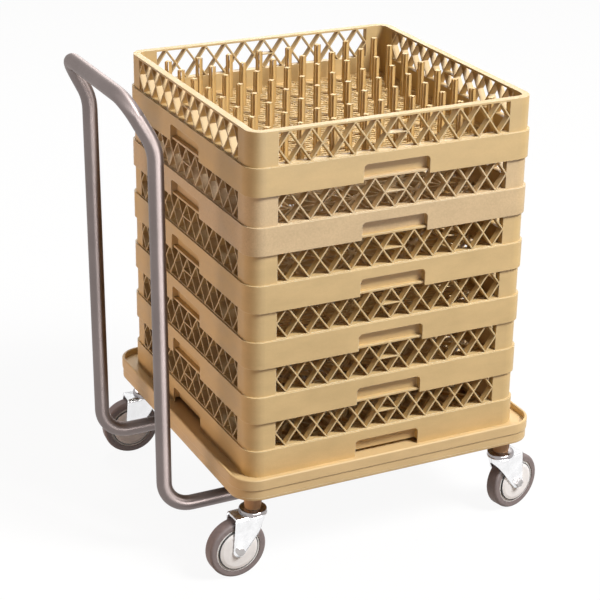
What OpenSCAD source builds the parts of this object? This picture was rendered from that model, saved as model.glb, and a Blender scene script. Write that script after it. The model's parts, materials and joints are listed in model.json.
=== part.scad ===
// Glass rack dolly: six nested dish racks on a moulded deck with four swivel casters and a tube handle.
// Millimetres. The origin is on the floor under the middle of the whole part, X runs along the front
// and the handle stands at minus X. Pieces of a caster are drawn with the stem on the Z axis.

/* [Racks] */
// Outside of a rack across its belt
rack_side = 500; // [494:1:506]
// Full height of one rack
rack_h = 101; // [97:0.5:106]
// Height of the belt, the closed lower band
belt_h = 45.5; // [43:0.5:48]
// How deep a belt slips over the rim below it
nest = 6.5; // [5:0.5:7.5]
// Corner radius outside the belt
rack_corner = 28; // [24:1:34]
// Depth of the lattice wall, which is also the width of the rim
wall_depth = 12; // [10:0.5:14]
// Width of the lattice window in each side
window_w = 402; // [380:2:420]
// Diamonds along a window
diamonds = 11; // [9:2:13]
// Width of a lattice bar
bar_w = 2.2; // [1.8:0.1:3]
// Width of the hand-hold in the belt
hold_w = 116; // [96:1:136]
// Height of the hand-hold
hold_h = 29; // [25:0.5:32]
// Spacing of the pegs and of the ribs in a rack's floor
peg_pitch = 56; // [52:0.5:57]
// Height of the peg tops above the belt's lower edge
peg_top = 90; // [80:1:95]
// Width of a peg's cross section
peg_w = 10; // [8:0.5:12]

/* [Deck] */
// Outside of the deck
deck_side = 550; // [542:1:560]
// Height of the deck from its lower edge to its rim
deck_h = 33; // [30:0.5:36]
// Height of the deck's lower edge above the floor
deck_z = 152; // [149:0.5:158]
// Corner radius of the deck
deck_corner = 42; // [36:1:48]
// Thickness of the deck's rim
deck_rim = 5; // [4:0.5:6]

/* [Casters] */
// Wheel diameter
wheel_d = 100; // [94:1:102]
// Width of the tyre
tyre_w = 24; // [22:0.5:25]
// Distance from the stem to the axle
trail = 31; // [27:0.5:32]
// Distance of the stems from the deck's edges
stem_inset = 41; // [38:0.5:43]
// Diameter of the stem in its socket
stem_d = 11; // [9:0.5:12]

/* [Handle] */
// Outside diameter of the handle tube
tube_od = 25; // [22:0.5:26]
// Wall of the handle tube
tube_wall = 1.6; // [1.2:0.1:2.4]
// Spacing of the legs
leg_span = 288; // [278:1:292]
// Width of the grip between its corners
grip_w = 260; // [240:1:275]
// Height of the grip's axis above the floor
grip_z = 785; // [770:1:800]
// Height of the bend below the grip
shoulder_z = 709; // [695:1:720]
// Gap from the deck's edge to the axis of the legs
leg_gap = 75; // [65:1:85]
// How far the grip leans out beyond the legs
grip_lean = 46; // [36:1:56]
// Height of the feet's axis above the floor
foot_z = 94; // [92:0.5:96]

/* [Hidden] */
$fn = 48;
over = 1;            // how far a cutting tool passes a face
run_gap = 0.05;      // radial clearance of a turning fit

// Rack
rack_half = rack_side / 2;
skirt_t = 2.6;
skirt_gap = 0.8;     // clearance between a skirt and the rim inside it
wall_half = rack_half - skirt_t - skirt_gap;
well_half = wall_half - wall_depth;
inner_t = 4;         // inner wall of the belt, which stands on the rim below
inner_half = well_half + inner_t;
ledge_t = 2.6;
pitch = rack_h - nest;
rack_count = 6;

// Lattice
sill = 1.5;          // rise from the belt's top to the window
rim_bar = 3.5;       // height of the rim over the window
window_z0 = belt_h + sill;
window_z1 = rack_h - rim_bar;
window_mid = (window_z0 + window_z1) / 2;
cell_w = window_w / diamonds / 2;
cell_h = (window_z1 - window_z0) / 2;
cell_slope = norm([cell_w, cell_h]);
hole_w = cell_w - bar_w / 2 * cell_slope / cell_h;
hole_h = cell_h - bar_w / 2 * cell_slope / cell_w;

// Hand-hold
hold_corner = 7;
hold_wall = 2.4;

// Rack floor
floor_z = 8;
floor_t = 7;
floor_rib = 4;
peg_count = 8;
peg_web = 3.6;

// Deck
deck_half = deck_side / 2;
band_step = 1.5;     // how far the upper band stands out
band_h = 14.6;       // height of the lower band
seat_h = 23;         // height of the standing surface in the deck
seat_z = deck_z + seat_h;
deck_floor = 5;
deck_rib = 3;
rib_lines = 3;       // ribs on each side of the middle one
rib_lift = 2;        // the ribs end this far above the lower edge

// Stem, socket and swivel
stem_at = deck_half - stem_inset;
boss_d = 32;
boss_drop = 12;
boss_z = deck_z - boss_drop;
socket_h = 28;
sleeve_t = 2.5;
cup_d = 46;
cup_h = 10.5;
cup_wall = 3;
cup_top = 5;
cup_gap = 0.5;       // clearance between the cup and the fork
king_d = 12;
king_head_d = 20;
king_head_h = 3;
cage_t = 1.2;
cage_r0 = 7.5;
cage_r1 = 18.5;
ball_d = 5.2;
ball_count = 14;
ball_ring = 13;
ball_lift = 1.5;     // centre of a ball above the cage

// Fork
fork_top = boss_z - cup_h - cup_gap;
fork_t = 3;
arm_in = 14;         // inner face of an arm from the wheel's middle
arm_t = 2.5;
arm_out = arm_in + arm_t;
fork_r = 25;
arm_end_r = 9;
fork_back = 7;       // the fork's top ends this far past the axle
lip_h = 15;

// Wheel
axle_z = wheel_d / 2;
axle_d = 8;
bush_d = 12;
guard_t = 1.6;
bush_half = arm_in - guard_t;
guard_r = wheel_d / 2 - 16.5;
guard_lip = 5;
guard_dish = 1.2;
tyre_t = 11;
tyre_round = 5;
core_r = wheel_d / 2 - tyre_t;
core_rim = 4;
core_half = 10.4;
core_web = 3;
hub_r = 10.5;
hub_half = bush_half - 0.4;
hex_r = 7.5;
head_h = 4.2;
nut_h = 6;

// Handle
foot_end = 50;
leg_x = -(deck_half + leg_gap);
shoulder_out = 6;    // the legs lean out this far on their way up
shoulder_in = 1;     // and in this far towards each other
grip_x = leg_x - grip_lean;
foot_bend = 48;
shoulder_bend = 80;
grip_bend = 40;
bend_slim = 0.02;    // a bend's wall is this much thinner on each side
bend_seat = 0.1;     // and its ends lie this far inside the straight runs
plug_cap = 3;
plug_depth = 15;
tube_r = tube_od / 2;

// Fixings of the handle's feet
saddle_x = [-150, 20];
saddle_l = 30;
saddle_half = 27;
spigot_d = 16;
spigot_h = 10;
pad_half = 30;
strap_t = 2.5;
strap_l = 24;
screw_d = 5;
screw_l = 20;
screw_head_d = 9;
screw_head_h = 3;
screw_y = tube_r + strap_t + 6;

// Casters: side along X, side along Y, and where the wheel trails, in degrees
front_left = [-1, -1, 182.6];
front_right = [1, -1, 13];
back_left = [-1, 1, 174.7];
back_right = [1, 1, 8];

// The whole part is centred between the grip and the wheel that reaches furthest
reach_left = tube_r - grip_x;
reach_right = stem_at + trail * cos(front_right[2]) + wheel_d / 2 * cos(front_right[2])
    + tyre_w / 2 * sin(front_right[2]);
x_shift = (reach_left - reach_right) / 2;

// Shared outlines

module rounded_square(half, r) {
    square([2 * half, 2 * (half - r)], center = true);
    square([2 * (half - r), 2 * half], center = true);
    for (x = [-1, 1], y = [-1, 1]) translate([x, y] * (half - r)) circle(r);
}

// A prism of a rack's or the deck's plan, which keeps the corners concentric
module plan(half, outer_half, outer_corner, z0, z1) {
    translate([0, 0, z0])
        linear_extrude(z1 - z0) rounded_square(half, outer_corner - (outer_half - half));
}

module rack_plan(half, z0, z1) {
    plan(half, rack_half, rack_corner, z0, z1);
}

module deck_plan(half, z0, z1) {
    plan(half, deck_half, deck_corner, z0, z1);
}

// Carries a section along a rounded square: its x points outwards, its y upwards
module around_square(half, r) {
    for (q = [0:3]) rotate([0, 0, 90 * q]) {
        translate([half, 0, 0]) rotate([90, 0, 0])
            linear_extrude(2 * (half - r), center = true) children();
        translate([half - r, half - r, 0]) rotate_extrude(angle = 90) translate([r, 0]) children();
    }
}

module each_side() {
    for (q = [0:3]) rotate([0, 0, 90 * q]) children();
}

// Rack

// A lattice cell: a triangle on its base, whose tip points up or down
module cell(x, z, tip) {
    polygon([[x - hole_w, z], [x + hole_w, z], [x, z + tip * hole_h]]);
}

module diamond(x) {
    polygon([
        [x - hole_w, window_mid], [x, window_mid - hole_h],
        [x + hole_w, window_mid], [x, window_mid + hole_h],
    ]);
}

// The openings of one wall, seen from outside: x along the wall, y up
module lattice_cells() {
    middle = (diamonds - 1) / 2;
    edge = window_w / 2;
    for (i = [0 : diamonds - 1]) {
        x = -edge + cell_w * (2 * i + 1);
        if (i != middle) diamond(x);
    }
    difference() {
        diamond(0);
        square_bar();
    }
    for (i = [1 : diamonds - 1]) {
        x = -edge + cell_w * 2 * i;
        cell(x, window_z0, 1);
        cell(x, window_z1, -1);
    }
    for (s = [-1, 1]) {
        polygon([[s * edge, window_z0], [s * (edge - hole_w), window_z0], [s * edge, window_z0 + hole_h]]);
        polygon([[s * edge, window_z1], [s * (edge - hole_w), window_z1], [s * edge, window_z1 - hole_h]]);
    }
}

// The level bar across the middle diamond
module square_bar() {
    translate([-cell_w, window_mid - bar_w / 2]) square([2 * cell_w, bar_w]);
}

module windows() {
    each_side() translate([0, over - well_half, 0]) rotate([90, 0, 0])
        linear_extrude(wall_depth + 2 * over) lattice_cells();
}

module hold_outline() {
    side = hold_w / 2 - hold_corner;
    translate([-hold_w / 2, -over]) square([hold_w, hold_h - hold_corner + over]);
    translate([-side, -over]) square([2 * side, hold_h + over]);
    for (s = [-1, 1]) translate([s * side, hold_h - hold_corner]) circle(hold_corner);
}

module hand_holds() {
    each_side() translate([0, -inner_half, 0]) rotate([90, 0, 0])
        linear_extrude(rack_half - inner_half + over) hold_outline();
}

// The space between the belt's skirt and inner wall, which stops at the hand-holds
module belt_channel() {
    difference() {
        rack_plan(rack_half - skirt_t, -over, belt_h - ledge_t);
        rack_plan(inner_half, -2 * over, belt_h);
        each_side() translate([-hold_w / 2 - hold_wall, -rack_half, nest + over])
            cube([hold_w + 2 * hold_wall, rack_half - inner_half + over, hold_h + hold_wall - nest - over]);
    }
}

// Half of a square of the floor, cut off by a rib along the diagonal
module floor_hole(turn) {
    a = peg_pitch / 2 - floor_rib / 2;
    b = a - floor_rib / sqrt(2);
    rotate(turn) polygon([[-a, a], [-a, -b], [b, a]]);
}

module floor_holes() {
    n = peg_count;
    for (i = [0 : n - 1], j = [0 : n - 1]) {
        turn = 90 * ((i + j) % 2);
        translate([i - (n - 1) / 2, j - (n - 1) / 2] * peg_pitch) {
            floor_hole(turn);
            floor_hole(turn + 180);
        }
    }
}

module rack(level) {
    color("#cbb07b") translate([x_shift, 0, seat_z + level * pitch]) difference() {
        union() {
            rack_plan(rack_half, 0, belt_h);
            rack_plan(wall_half, belt_h - over, rack_h);
        }
        rack_plan(well_half, floor_z + floor_t, rack_h + over);
        rack_plan(well_half, -over, floor_z);
        rack_plan(rack_half - skirt_t, -over, nest);
        belt_channel();
        hand_holds();
        windows();
        translate([0, 0, floor_z - over]) linear_extrude(floor_t + 2 * over) floor_holes();
    }
}

// Pegs of the top rack
module pegs() {
    base = floor_z + floor_t;
    color("#c7a970") translate([x_shift, 0, seat_z + (rack_count - 1) * pitch + base])
        for (i = [0 : peg_count - 1], j = [0 : peg_count - 1])
            translate([i - (peg_count - 1) / 2, j - (peg_count - 1) / 2] * peg_pitch)
                linear_extrude(peg_top - base) {
                    square([peg_w, peg_web], center = true);
                    square([peg_web, peg_w], center = true);
                }
}

// Deck

module deck_shell() {
    difference() {
        union() {
            deck_plan(deck_half - band_step, deck_z, deck_z + band_h + over);
            deck_plan(deck_half, deck_z + band_h, deck_z + deck_h - deck_rim / 2);
        }
        deck_plan(deck_half - deck_rim, seat_z, deck_z + deck_h);
        deck_plan(deck_half - band_step - deck_rim, deck_z - over, seat_z - deck_floor);
    }
    translate([0, 0, deck_z + deck_h - deck_rim / 2])
        around_square(deck_half - deck_rim / 2, deck_corner - deck_rim / 2) intersection() {
            circle(deck_rim / 2);
            translate([-deck_rim, 0]) square(2 * deck_rim);
        }
}

module deck_ribs() {
    z = deck_z + rib_lift;
    span = 2 * (deck_half - band_step - deck_rim) + over;
    for (i = [-rib_lines : rib_lines], turn = [0, 90])
        rotate([0, 0, turn]) translate([i * stem_at / rib_lines - deck_rib / 2, -span / 2, z])
            cube([deck_rib, span, seat_z - deck_floor - z]);
}

module deck() {
    color("#bfa877") translate([x_shift, 0, 0]) difference() {
        union() {
            deck_shell();
            deck_ribs();
            for (x = [-1, 1], y = [-1, 1]) translate([x * stem_at, y * stem_at, boss_z])
                cylinder(d = boss_d, h = seat_z - deck_floor - boss_z);
            for (x = saddle_x, y = [-1, 1]) translate([x - pad_half, y * leg_span / 2 - pad_half, deck_z])
                cube([2 * pad_half, 2 * pad_half, seat_z - deck_floor - deck_z]);
        }
        for (x = [-1, 1], y = [-1, 1]) translate([x * stem_at, y * stem_at, boss_z - over])
            cylinder(d = stem_d + 2 * sleeve_t, h = socket_h + over);
        for (x = saddle_x, y = [-1, 1]) translate([x, y * leg_span / 2, deck_z - over])
            cylinder(d = spigot_d, h = spigot_h + over);
    }
}

module socket_sleeves() {
    color("#3a3a3c") for (x = [-1, 1], y = [-1, 1])
        translate([x_shift + x * stem_at, y * stem_at, boss_z]) difference() {
            cylinder(d = stem_d + 2 * sleeve_t, h = socket_h);
            translate([0, 0, -over]) cylinder(d = stem_d, h = socket_h + 2 * over);
        }
}

// Handle

function unit(v) = v / norm(v);

module tube_section(slim = 0) {
    difference() {
        circle(tube_r - slim);
        circle(tube_r - tube_wall + slim);
    }
}

// Places children so that their X, Y and Z axes lie along the given directions
module placed(x, y, z, at) {
    multmatrix([
        [x[0], y[0], z[0], at[0]],
        [x[1], y[1], z[1], at[1]],
        [x[2], y[2], z[2], at[2]],
    ]) children();
}

module straight(a, b) {
    z = unit(b - a);
    x = unit(cross(abs(z[2]) > 0.9 ? [0, 1, 0] : [0, 0, 1], z));
    placed(x, cross(z, x), z, a) linear_extrude(norm(b - a)) tube_section();
}

// How far a bend of radius r starts before corner i of a path
function bend_reach(path, i, r) =
    let (turn = acos(unit(path[i] - path[i - 1]) * unit(path[i + 1] - path[i])))
    r * tan(turn / 2);

module bend(path, i, r) {
    d0 = unit(path[i] - path[i - 1]);
    d1 = unit(path[i + 1] - path[i]);
    axis = unit(cross(d0, d1));
    inward = cross(axis, d0);
    start = path[i] - d0 * bend_reach(path, i, r);
    placed(-inward, d0, axis, start + inward * r)
        rotate_extrude(angle = acos(d0 * d1)) translate([r, 0]) tube_section(bend_slim);
}

// A tube along a path with a bend at each corner; the ends have a radius of 0
module bent_tube(path, radii) {
    last = len(path) - 1;
    reach = [for (i = [0 : last]) i == 0 || i == last ? 0 : bend_reach(path, i, radii[i]) - bend_seat];
    for (i = [1 : last]) {
        d = unit(path[i] - path[i - 1]);
        straight(path[i - 1] + d * reach[i - 1], path[i] - d * reach[i]);
    }
    for (i = [1 : last - 1]) bend(path, i, radii[i]);
}

module handle_tube() {
    foot_y = leg_span / 2;
    half_path = [
        [foot_end, foot_y, foot_z],
        [leg_x, foot_y, foot_z],
        [leg_x - shoulder_out, foot_y - shoulder_in, shoulder_z],
        [grip_x, grip_w / 2, grip_z],
    ];
    half_radii = [0, foot_bend, shoulder_bend, grip_bend];
    path = concat(half_path, [for (i = [3 : -1 : 0]) [half_path[i][0], -half_path[i][1], half_path[i][2]]]);
    radii = concat(half_radii, [for (i = [3 : -1 : 0]) half_radii[i]]);
    color("#b9bcc0") translate([x_shift, 0, 0]) bent_tube(path, radii);
}

module each_foot() {
    for (y = [-1, 1]) translate([x_shift, y * leg_span / 2, foot_z]) children();
}

module handle_plugs() {
    color("#2c2c2e") each_foot() translate([foot_end, 0, 0]) rotate([0, 90, 0]) {
        cylinder(r = tube_r, h = plug_cap);
        translate([0, 0, -plug_depth]) cylinder(r = tube_r - tube_wall, h = plug_depth);
    }
}

module each_saddle() {
    each_foot() for (x = saddle_x) translate([x, 0, 0]) children();
}

module saddle_blocks() {
    block_h = deck_z - foot_z;
    color("#a8935f") each_saddle() difference() {
        union() {
            translate([-saddle_l / 2, -saddle_half, 0]) cube([saddle_l, 2 * saddle_half, block_h]);
            translate([0, 0, block_h]) cylinder(d = spigot_d, h = spigot_h);
        }
        translate([-saddle_l, 0, 0]) rotate([0, 90, 0]) cylinder(r = tube_r, h = 2 * saddle_l);
        for (s = [-1, 1]) translate([0, s * screw_y, -over]) cylinder(d = screw_d, h = screw_l + over - strap_t);
    }
}

// The strap's bent section, seen along the tube
module strap_section() {
    difference() {
        union() {
            circle(tube_r + strap_t);
            translate([-saddle_half, -strap_t]) square([2 * saddle_half, strap_t]);
        }
        circle(tube_r);
        translate([-2 * saddle_half, 0]) square(4 * saddle_half);
    }
}

module tube_straps() {
    color("#9fa3a8") each_saddle() difference() {
        translate([-strap_l / 2, 0, 0]) rotate([90, 0, 90]) linear_extrude(strap_l) strap_section();
        for (s = [-1, 1]) translate([0, s * screw_y, -strap_t - over])
            cylinder(d = screw_d, h = strap_t + 2 * over);
    }
}

module strap_screws() {
    color("#8a8d91") each_saddle() for (s = [-1, 1]) translate([0, s * screw_y, -strap_t]) {
        cylinder(d = screw_d, h = screw_l);
        translate([0, 0, -screw_head_h]) cylinder(d = screw_head_d, h = screw_head_h);
    }
}

// Casters

module at_caster(place) {
    translate([x_shift + place[0] * stem_at, place[1] * stem_at, 0]) rotate([0, 0, place[2]]) children();
}

// Axle frame: the turning axis is Z, and it comes out along the caster's Y
module at_axle() {
    translate([trail, 0, axle_z]) rotate([-90, 0, 0]) children();
}

module stem(place) {
    cup_z = boss_z - cup_h;
    plate_z = fork_top - fork_t;
    color("#2f3033") at_caster(place) {
        difference() {
            translate([0, 0, cup_z]) cylinder(d = cup_d, h = cup_h);
            translate([0, 0, cup_z - over]) cylinder(d = cup_d - 2 * cup_wall, h = cup_h - cup_top + over);
        }
        translate([0, 0, boss_z - over]) cylinder(d = stem_d, h = socket_h + over);
        translate([0, 0, plate_z - king_head_h]) cylinder(d = king_d, h = boss_z - over - plate_z + king_head_h);
        translate([0, 0, plate_z - king_head_h]) cylinder(d = king_head_d, h = king_head_h);
    }
}

module bearing(place) {
    color("#c9ccd1") at_caster(place) translate([0, 0, fork_top]) {
        difference() {
            cylinder(r = cage_r1, h = cage_t);
            translate([0, 0, -over]) cylinder(r = cage_r0, h = cage_t + 2 * over);
        }
        for (i = [0 : ball_count - 1]) rotate([0, 0, 360 / ball_count * i])
            translate([ball_ring, 0, cage_t + ball_lift]) sphere(d = ball_d);
    }
}

// Where a line from p touches a circle, on the side that looks away from the circle's right
function touch_point(p, c, r) =
    let (
        d = norm(c - p),
        to = atan2(p[1] - c[1], p[0] - c[0]),
        half = acos(r / d)
    ) c + r * [cos(to + half), sin(to + half)];

module arm_outline() {
    axle = [trail, axle_z];
    back = trail + fork_back;
    front = [-fork_r, fork_top - fork_t];
    foot = touch_point(front, axle, arm_end_r);
    polygon([
        [-fork_r, fork_top], front, foot, axle,
        [trail + arm_end_r, axle_z], [back, fork_top],
    ]);
    translate(axle) circle(arm_end_r);
}

module fork(place) {
    plate_z = fork_top - fork_t;
    back = trail + fork_back;
    color("#8d9094") at_caster(place) difference() {
        union() {
            translate([0, 0, plate_z]) cylinder(r = fork_r, h = fork_t);
            translate([-fork_r * 0.7, -arm_out, plate_z]) cube([back + fork_r * 0.7, 2 * arm_out, fork_t]);
            translate([back - arm_t, -arm_out, fork_top - lip_h]) cube([arm_t, 2 * arm_out, lip_h]);
            for (s = [-1, 1]) translate([0, s * (arm_in + arm_t / 2) + arm_t / 2, 0]) rotate([90, 0, 0])
                linear_extrude(arm_t) arm_outline();
        }
        translate([0, 0, plate_z - over]) cylinder(d = king_d + 2 * run_gap, h = fork_t + 2 * over);
        at_axle() cylinder(d = axle_d, h = 4 * arm_out, center = true);
    }
}

module axle(place) {
    color("#a4a7ab") at_caster(place) at_axle() {
        translate([0, 0, -arm_out - nut_h]) cylinder(d = axle_d, h = 2 * arm_out + nut_h + over);
        translate([0, 0, arm_out]) cylinder(r = hex_r, h = head_h, $fn = 6);
    }
}

module nut(place) {
    color("#94979b") at_caster(place) at_axle() translate([0, 0, -arm_out - nut_h]) difference() {
        cylinder(r = hex_r, h = nut_h, $fn = 6);
        translate([0, 0, -over]) cylinder(d = axle_d, h = nut_h + 2 * over);
    }
}

module bush(place) {
    color("#b0a070") at_caster(place) at_axle() difference() {
        cylinder(d = bush_d, h = 2 * bush_half, center = true);
        cylinder(d = axle_d, h = 2 * bush_half + over, center = true);
    }
}

// The dished discs that keep thread off the hub
module guards(place) {
    flat_r = guard_r - guard_lip;
    color("#b7babd") at_caster(place) at_axle() for (s = [0, 1]) mirror([0, 0, s]) rotate_extrude() polygon([
        [axle_d / 2, bush_half], [flat_r, bush_half], [guard_r, bush_half - guard_dish],
        [guard_r, arm_in - guard_dish], [flat_r, arm_in], [axle_d / 2, arm_in],
    ]);
}

module core(place) {
    bore = bush_d / 2 + run_gap;
    color("#e9e9e6") at_caster(place) at_axle() rotate_extrude() {
        translate([bore, -hub_half]) square([hub_r - bore, 2 * hub_half]);
        translate([hub_r - over, -core_web]) square([core_r - core_rim - hub_r + 2 * over, 2 * core_web]);
        translate([core_r - core_rim, -core_half]) square([core_rim, 2 * core_half]);
    }
}

module tyre(place) {
    half = tyre_w / 2;
    color("#55565a") at_caster(place) at_axle() rotate_extrude() {
        translate([core_r, -half]) square([tyre_t - tyre_round, tyre_w]);
        translate([core_r, tyre_round - half]) square([tyre_t, tyre_w - 2 * tyre_round]);
        for (s = [-1, 1]) translate([wheel_d / 2 - tyre_round, s * (half - tyre_round)]) circle(tyre_round);
    }
}

deck();
socket_sleeves();
handle_tube();
handle_plugs();
saddle_blocks();
tube_straps();
strap_screws();
rack(0);  // rack_1
rack(1);  // rack_2
rack(2);  // rack_3
rack(3);  // rack_4
rack(4);  // rack_5
rack(5);  // rack_6
pegs();
stem(front_left);  // stem_front_left
bearing(front_left);  // bearing_front_left
fork(front_left);  // fork_front_left
axle(front_left);  // axle_front_left
nut(front_left);  // nut_front_left
bush(front_left);  // bush_front_left
guards(front_left);  // guards_front_left
core(front_left);  // core_front_left
tyre(front_left);  // tyre_front_left
stem(front_right);  // stem_front_right
bearing(front_right);  // bearing_front_right
fork(front_right);  // fork_front_right
axle(front_right);  // axle_front_right
nut(front_right);  // nut_front_right
bush(front_right);  // bush_front_right
guards(front_right);  // guards_front_right
core(front_right);  // core_front_right
tyre(front_right);  // tyre_front_right
stem(back_left);  // stem_back_left
bearing(back_left);  // bearing_back_left
fork(back_left);  // fork_back_left
axle(back_left);  // axle_back_left
nut(back_left);  // nut_back_left
bush(back_left);  // bush_back_left
guards(back_left);  // guards_back_left
core(back_left);  // core_back_left
tyre(back_left);  // tyre_back_left
stem(back_right);  // stem_back_right
bearing(back_right);  // bearing_back_right
fork(back_right);  // fork_back_right
axle(back_right);  // axle_back_right
nut(back_right);  // nut_back_right
bush(back_right);  // bush_back_right
guards(back_right);  // guards_back_right
core(back_right);  // core_back_right
tyre(back_right);  // tyre_back_right
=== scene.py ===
"""Finishes for a glass rack dolly: nested dish racks on a moulded deck with casters and a tube handle."""

import json
import math

import bpy
from mathutils import Matrix, Vector


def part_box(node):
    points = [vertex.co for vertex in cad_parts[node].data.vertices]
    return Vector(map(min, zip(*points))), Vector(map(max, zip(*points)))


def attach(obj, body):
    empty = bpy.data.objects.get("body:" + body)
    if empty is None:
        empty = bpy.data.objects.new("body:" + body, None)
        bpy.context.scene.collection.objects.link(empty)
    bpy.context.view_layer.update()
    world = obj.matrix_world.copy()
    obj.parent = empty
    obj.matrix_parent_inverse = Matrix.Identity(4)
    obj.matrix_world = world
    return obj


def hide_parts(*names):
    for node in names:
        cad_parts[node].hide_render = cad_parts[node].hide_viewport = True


bl_info = {
    "name": "Glass rack dolly finishes",
    "version": (1, 0, 0),
    "blender": (4, 5, 0),
    "location": "View3D > Sidebar > Dolly",
    "description": "Gives each piece of the glass rack dolly its finish and sets up a plain studio",
    "category": "Material",
}

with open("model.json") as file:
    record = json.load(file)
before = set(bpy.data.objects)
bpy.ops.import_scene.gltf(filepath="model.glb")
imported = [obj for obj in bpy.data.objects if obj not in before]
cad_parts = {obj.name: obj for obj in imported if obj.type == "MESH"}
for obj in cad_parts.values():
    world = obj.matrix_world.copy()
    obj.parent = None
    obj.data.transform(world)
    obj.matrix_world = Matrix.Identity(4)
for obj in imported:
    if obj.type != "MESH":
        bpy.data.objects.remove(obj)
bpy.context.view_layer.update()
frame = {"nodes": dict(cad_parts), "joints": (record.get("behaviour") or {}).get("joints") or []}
NODES = frame["nodes"]
MM = 0.001
CASTERS = ("front_left", "front_right", "back_left", "back_right")
RACKS = tuple(f"rack_{level}" for level in range(1, 7))
ROSY_RACK = "rack_5"
FINE_RACKS = ("rack_3", "rack_6")
DECK_BODY = "dolly"

# Handle tube: its radius, how far in from the outside of the grip its legs stand, and the bends at its feet
TUBE_RADIUS = 12.5 * MM
LEG_INSET = TUBE_RADIUS + 46 * MM
FOOT_BEND = 48 * MM
# Depths below the top of the handle between which its neck bends out, and its legs turn into the grip
NECK_SPAN = (115 * MM, 60 * MM)
GRIP_SPAN = (35 * MM, 16 * MM)

# Rack floors: the clear half width between the walls, and the top of the solid floor above the rack's base
FLOOR_HALF = 234.5 * MM
FLOOR_TOP = 15 * MM
# Fine bars in each pitch of the ribs
FINE_BARS = 6
# Undersides and tops of ribs and fine bars, from the top of the solid floor. The second of each pair crosses
# the first, and its top is a little lower, so that the two tops don't coincide.
RIB_LEVELS = ((-6.4 * MM, -0.1 * MM), (-6.4 * MM, -0.15 * MM))
BAR_LEVELS = ((-0.3 * MM, 1.7 * MM), (-0.2 * MM, 1.6 * MM))

# Lower edge of the deck, in millimetres: half width and corner of its band, and the section of the strip that
# hangs below it, as distances in from the band and heights above the floor
BAND_HALF = 273.5
BAND_CORNER = 40.5
BAND_SECTION = ((5, 152.5), (5, 148.6), (4.4, 147.8), (1.0, 147.6), (0.3, 148.0), (0, 148.8), (0, 152.5))
BAND_STEPS = 18

# Forks: how far the arms stay below the top of the plate, the plate's corners and softened edges, how finely
# arms and plate are divided, and the steps that settle the lower edge of the flare
ARM_DROP = 0.1 * MM
PLATE_CORNER = 4 * MM
PLATE_LOWER_EDGE = 0.6 * MM
PLATE_UPPER_EDGE = 0.9 * MM
ARM_COLUMNS = 26
ARM_ROWS = 10
PLATE_STEPS = 40
CORNER_STEPS = 6
SETTLE_STEPS = 12
# Half of the section of the swivel cup with its stem, and of the boss above it, in millimetres: radius, and
# height above the floor
CUP_SECTION = (
    (0, 102.5), (9, 102.5), (10, 103.2), (10, 105.4), (6, 105.4), (6, 109), (22.4, 109), (23, 109.6),
    (23, 113.6), (22.4, 115), (21, 115.8), (19, 116), (5.5, 116), (5.5, 168), (0, 168),
)
BOSS_SECTION = (
    (5.6, 116.1), (12.6, 116.1), (13.2, 116.6), (16.25, 139), (16.9, 151.5), (17, 153), (16.2, 153),
    (16.1, 140), (5.6, 139.9),
)
# Section of a black ring that paints the shadowed gap at a wheel's rim, in millimetres from the axle and from
# the wheel's middle plane
SHADOW_RING_SECTION = ((33.5, 11.3), (35.3, 11.3), (35.3, 12.3), (35.0, 12.65), (33.8, 12.75), (33.5, 12.6))

# Tone of the highlight painted along plastic edges, and how much of it they take on
EDGE_HIGHLIGHT_TONE = "#f7f3d7"
EDGE_HIGHLIGHT_SHARE = 0.9

# Studio: half width of the floor, its tone as seen and as it lights the dolly from below, the share of white
# that it shows by itself, the tints of the sky and of the side lamp, and the point that the lamps face
FLOOR_REACH = 8.0
FLOOR_SEEN = "#f4f4f2"
FLOOR_UNSEEN = "#9c8d7c"
FLOOR_WHITE = 0.93
SKY_TINT = "#ffdcd8"
FILL_TINT = "#ffdfcc"
LAMP_TARGET = (0.05, 0, 0.42)


def linear(hex_colour):
    """An sRGB hex colour as linear red, green, blue and alpha."""
    channels = []
    for i in (1, 3, 5):
        value = int(hex_colour[i:i + 2], 16) / 255
        channels.append(value / 12.92 if value <= 0.04045 else ((value + 0.055) / 1.055) ** 2.4)
    return (*channels, 1.0)


def scaled(colour, factor):
    """A linear colour made lighter or darker."""
    return (*(min(1.0, c * factor) for c in colour[:3]), 1.0)


def with_edge_highlight(colour):
    """A linear colour most of the way to the tone of the painted edge highlight."""
    return (*(c + EDGE_HIGHLIGHT_SHARE * (white - c) for c, white in zip(colour[:3], linear(EDGE_HIGHLIGHT_TONE))), 1.0)


# Properties


def colour_property(name, description, default):
    return bpy.props.FloatVectorProperty(
        name=name, description=description, subtype="COLOR", size=4, min=0, max=1, default=linear(default)
    )


def length_property(name, description, millimetres):
    return bpy.props.FloatProperty(
        name=name, description=description, subtype="DISTANCE", unit="LENGTH", min=0, precision=4,
        default=millimetres * MM,
    )


def angle_property(name, description, degrees):
    return bpy.props.FloatProperty(
        name=name, description=description, subtype="ANGLE", default=math.radians(degrees)
    )


def power_property(name, description, watts):
    return bpy.props.FloatProperty(name=name, description=description, unit="POWER", min=0, default=watts)


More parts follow.
